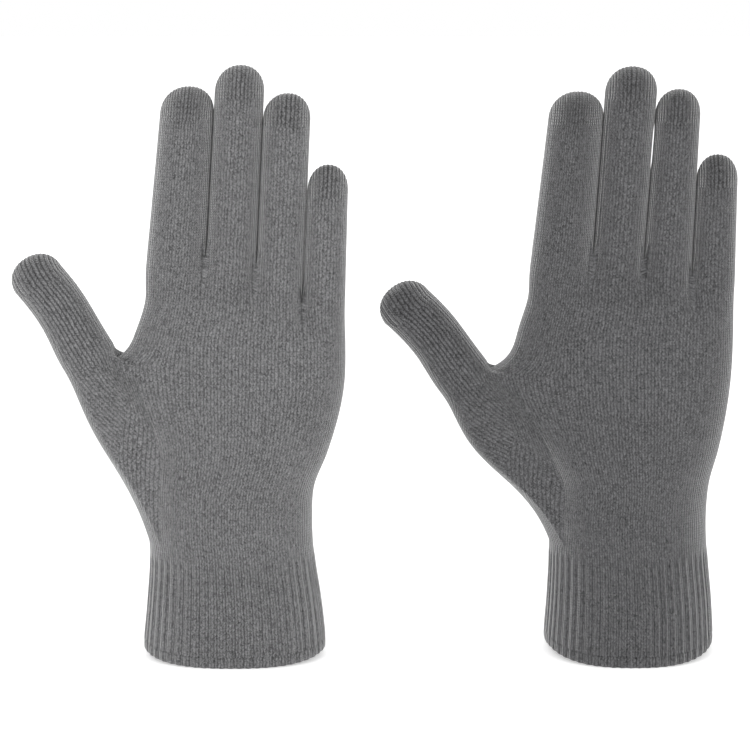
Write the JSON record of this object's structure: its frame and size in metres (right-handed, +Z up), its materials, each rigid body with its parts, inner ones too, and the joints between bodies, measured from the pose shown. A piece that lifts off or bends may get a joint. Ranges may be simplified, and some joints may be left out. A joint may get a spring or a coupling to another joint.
{
  "type": "knitted touchscreen gloves",
  "caption": "Pair of fine-knit touchscreen gloves, one per hand, with ribbed cuffs and conductive fingertips; wrists, fingers and thumbs bend.",
  "frame": {"origin": "middle of the pair's footprint box, on the surface that the cuffs stand on", "axes": "+Z up, from the cuffs to the fingertips; -Y towards the viewer, who sees the back of the right-hand glove and the palm of the left-hand glove; +X from the right-hand glove to the left-hand glove"},
  "size_m": [0.2998, 0.0624, 0.2502],
  "materials": {
    "right_knit": "heather grey fine jersey knit, matt with a soft halo of fibres",
    "right_rib": "heather grey rib knit, matt",
    "right_conductive_knit": "darker, slightly coarser knit of conductive yarn",
    "right_elastic": "covered elastic yarn",
    "left_knit": "heather grey fine jersey knit, matt with a soft halo of fibres",
    "left_rib": "heather grey rib knit, matt",
    "left_conductive_knit": "darker, slightly coarser knit of conductive yarn",
    "left_elastic": "covered elastic yarn"
  },
  "bodies": {
    "right_cuff": {"right_cuff_hem": "right_rib", "right_ribbed_cuff": "right_rib", "right_cuff_elastic": "right_elastic"},
    "right_hand": {"right_hand": "right_knit"},
    "right_index_base": {"right_index_base": "right_knit"},
    "right_index_middle": {"right_index_middle": "right_knit"},
    "right_index_end": {"right_index_end": "right_knit", "right_index_tip": "right_conductive_knit"},
    "right_middle_base": {"right_middle_base": "right_knit"},
    "right_middle_middle": {"right_middle_middle": "right_knit"},
    "right_middle_end": {"right_middle_end": "right_knit", "right_middle_tip": "right_conductive_knit"},
    "right_ring_base": {"right_ring_base": "right_knit"},
    "right_ring_middle": {"right_ring_middle": "right_knit"},
    "right_ring_end": {"right_ring_end": "right_knit", "right_ring_tip": "right_conductive_knit"},
    "right_little_base": {"right_little_base": "right_knit"},
    "right_little_middle": {"right_little_middle": "right_knit"},
    "right_little_end": {"right_little_end": "right_knit", "right_little_tip": "right_conductive_knit"},
    "right_thumb_base": {"right_thumb_base": "right_knit"},
    "right_thumb_end": {"right_thumb_end": "right_knit", "right_thumb_tip": "right_conductive_knit"},
    "left_cuff": {"left_cuff_hem": "left_rib", "left_ribbed_cuff": "left_rib", "left_cuff_elastic": "left_elastic"},
    "left_hand": {"left_hand": "left_knit"},
    "left_index_base": {"left_index_base": "left_knit"},
    "left_index_middle": {"left_index_middle": "left_knit"},
    "left_index_end": {"left_index_end": "left_knit", "left_index_tip": "left_conductive_knit"},
    "left_middle_base": {"left_middle_base": "left_knit"},
    "left_middle_middle": {"left_middle_middle": "left_knit"},
    "left_middle_end": {"left_middle_end": "left_knit", "left_middle_tip": "left_conductive_knit"},
    "left_ring_base": {"left_ring_base": "left_knit"},
    "left_ring_middle": {"left_ring_middle": "left_knit"},
    "left_ring_end": {"left_ring_end": "left_knit", "left_ring_tip": "left_conductive_knit"},
    "left_little_base": {"left_little_base": "left_knit"},
    "left_little_middle": {"left_little_middle": "left_knit"},
    "left_little_end": {"left_little_end": "left_knit", "left_little_tip": "left_conductive_knit"},
    "left_thumb_base": {"left_thumb_base": "left_knit"},
    "left_thumb_end": {"left_thumb_end": "left_knit", "left_thumb_tip": "left_conductive_knit"}
  },
  "joints": [
    {"name": "gloves_apart", "type": "slide", "parent": "right_cuff", "child": "left_cuff", "axis": [1, 0, 0], "range_m": [0, 0.1]},
    {"name": "right_wrist_bend", "type": "hinge", "parent": "right_cuff", "child": "right_hand", "pos_m": [-0.06039, -0.00777, 0.048], "axis": [-1, 0, 0], "range_deg": [-30, 40]},
    {"name": "right_index_base_bend", "type": "hinge", "parent": "right_hand", "child": "right_index_base", "pos_m": [-0.08081, -0.0049, 0.181], "axis": [-0.9967, 0, 0.0817], "range_deg": [0, 65]},
    {"name": "right_index_middle_bend", "type": "hinge", "parent": "right_index_base", "child": "right_index_middle", "pos_m": [-0.07909, -0.005, 0.20204], "axis": [-0.9967, 0, 0.0817], "range_deg": [0, 90]},
    {"name": "right_index_end_bend", "type": "hinge", "parent": "right_index_middle", "child": "right_index_end", "pos_m": [-0.07762, -0.00509, 0.21995], "axis": [-0.9967, 0, 0.0817], "range_deg": [0, 40]},
    {"name": "right_middle_base_bend", "type": "hinge", "parent": "right_hand", "child": "right_middle_base", "pos_m": [-0.05942, -0.00505, 0.181], "axis": [-0.9983, 0, 0.0579], "range_deg": [0, 65]},
    {"name": "right_middle_middle_bend", "type": "hinge", "parent": "right_middle_base", "child": "right_middle_middle", "pos_m": [-0.058, -0.00509, 0.20541], "axis": [-0.9983, 0, 0.0579], "range_deg": [0, 90]},
    {"name": "right_middle_end_bend", "type": "hinge", "parent": "right_middle_middle", "child": "right_middle_end", "pos_m": [-0.0568, -0.00512, 0.22618], "axis": [-0.9983, 0, 0.0579], "range_deg": [0, 40]},
    {"name": "right_ring_base_bend", "type": "hinge", "parent": "right_hand", "child": "right_ring_base", "pos_m": [-0.03941, -0.00521, 0.1765], "axis": [-0.9988, 0, 0.0499], "range_deg": [0, 65]},
    {"name": "right_ring_middle_bend", "type": "hinge", "parent": "right_ring_base", "child": "right_ring_middle", "pos_m": [-0.03834, -0.00522, 0.198], "axis": [-0.9988, 0, 0.0499], "range_deg": [0, 90]},
    {"name": "right_ring_end_bend", "type": "hinge", "parent": "right_ring_middle", "child": "right_ring_end", "pos_m": [-0.03742, -0.00524, 0.21632], "axis": [-0.9988, 0, 0.0499], "range_deg": [0, 40]},
    {"name": "right_little_base_bend", "type": "hinge", "parent": "right_hand", "child": "right_little_base", "pos_m": [-0.02152, -0.00551, 0.163], "axis": [-0.9993, 0, 0.038], "range_deg": [0, 65]},
    {"name": "right_little_middle_bend", "type": "hinge", "parent": "right_little_base", "child": "right_little_middle", "pos_m": [-0.02095, -0.00555, 0.17818], "axis": [-0.9993, 0, 0.038], "range_deg": [0, 80]},
    {"name": "right_little_end_bend", "type": "hinge", "parent": "right_little_middle", "child": "right_little_end", "pos_m": [-0.02048, -0.00558, 0.19048], "axis": [-0.9993, 0, 0.038], "range_deg": [0, 30]},
    {"name": "right_thumb_base_bend", "type": "hinge", "parent": "right_hand", "child": "right_thumb_base", "pos_m": [-0.12194, -0.00472, 0.1335], "axis": [-0.8616, 0, -0.5075], "range_deg": [0, 40]},
    {"name": "right_thumb_end_bend", "type": "hinge", "parent": "right_thumb_base", "child": "right_thumb_end", "pos_m": [-0.13053, -0.00481, 0.14809], "axis": [-0.8616, 0, -0.5075], "range_deg": [0, 60]},
    {"name": "left_wrist_bend", "type": "hinge", "parent": "left_cuff", "child": "left_hand", "pos_m": [0.10761, 0.00023, 0.048], "axis": [1, 0, 0], "range_deg": [-30, 40]},
    {"name": "left_index_base_bend", "type": "hinge", "parent": "left_hand", "child": "left_index_base", "pos_m": [0.07929, -0.00265, 0.1804], "axis": [0.9976, 0, -0.0698], "range_deg": [0, 65]},
    {"name": "left_index_middle_bend", "type": "hinge", "parent": "left_index_base", "child": "left_index_middle", "pos_m": [0.0807, -0.00256, 0.20051], "axis": [0.9976, 0, -0.0698], "range_deg": [0, 90]},
    {"name": "left_index_end_bend", "type": "hinge", "parent": "left_index_middle", "child": "left_index_end", "pos_m": [0.0819, -0.00249, 0.21763], "axis": [0.9976, 0, -0.0698], "range_deg": [0, 40]},
    {"name": "left_middle_base_bend", "type": "hinge", "parent": "left_hand", "child": "left_middle_base", "pos_m": [0.10096, -0.00255, 0.1804], "axis": [0.9985, 0, -0.0539], "range_deg": [0, 65]},
    {"name": "left_middle_middle_bend", "type": "hinge", "parent": "left_middle_base", "child": "left_middle_middle", "pos_m": [0.10227, -0.00255, 0.20458], "axis": [0.9985, 0, -0.0539], "range_deg": [0, 90]},
    {"name": "left_middle_end_bend", "type": "hinge", "parent": "left_middle_middle", "child": "left_middle_end", "pos_m": [0.10338, -0.00255, 0.22515], "axis": [0.9985, 0, -0.0539], "range_deg": [0, 40]},
    {"name": "left_ring_base_bend", "type": "hinge", "parent": "left_hand", "child": "left_ring_base", "pos_m": [0.12169, -0.00242, 0.1785], "axis": [0.9988, 0, -0.0499], "range_deg": [0, 65]},
    {"name": "left_ring_middle_bend", "type": "hinge", "parent": "left_ring_base", "child": "left_ring_middle", "pos_m": [0.12274, -0.0024, 0.19959], "axis": [0.9988, 0, -0.0499], "range_deg": [0, 90]},
    {"name": "left_ring_end_bend", "type": "hinge", "parent": "left_ring_middle", "child": "left_ring_end", "pos_m": [0.12364, -0.00238, 0.21755], "axis": [0.9988, 0, -0.0499], "range_deg": [0, 40]},
    {"name": "left_little_base_bend", "type": "hinge", "parent": "left_hand", "child": "left_little_base", "pos_m": [0.14052, -0.00211, 0.1705], "axis": [0.9994, 0, -0.034], "range_deg": [0, 65]},
    {"name": "left_little_middle_bend", "type": "hinge", "parent": "left_little_base", "child": "left_little_middle", "pos_m": [0.14098, -0.00207, 0.18403], "axis": [0.9994, 0, -0.034], "range_deg": [0, 80]},
    {"name": "left_little_end_bend", "type": "hinge", "parent": "left_little_middle", "child": "left_little_end", "pos_m": [0.14135, -0.00203, 0.1949], "axis": [0.9994, 0, -0.034], "range_deg": [0, 30]},
    {"name": "left_thumb_base_bend", "type": "hinge", "parent": "left_hand", "child": "left_thumb_base", "pos_m": [0.03416, -0.00279, 0.123], "axis": [0.7934, 0, 0.6088], "range_deg": [0, 40]},
    {"name": "left_thumb_end_bend", "type": "hinge", "parent": "left_thumb_base", "child": "left_thumb_end", "pos_m": [0.02377, -0.00271, 0.13655], "axis": [0.7934, 0, 0.6088], "range_deg": [0, 60]}
  ]
}
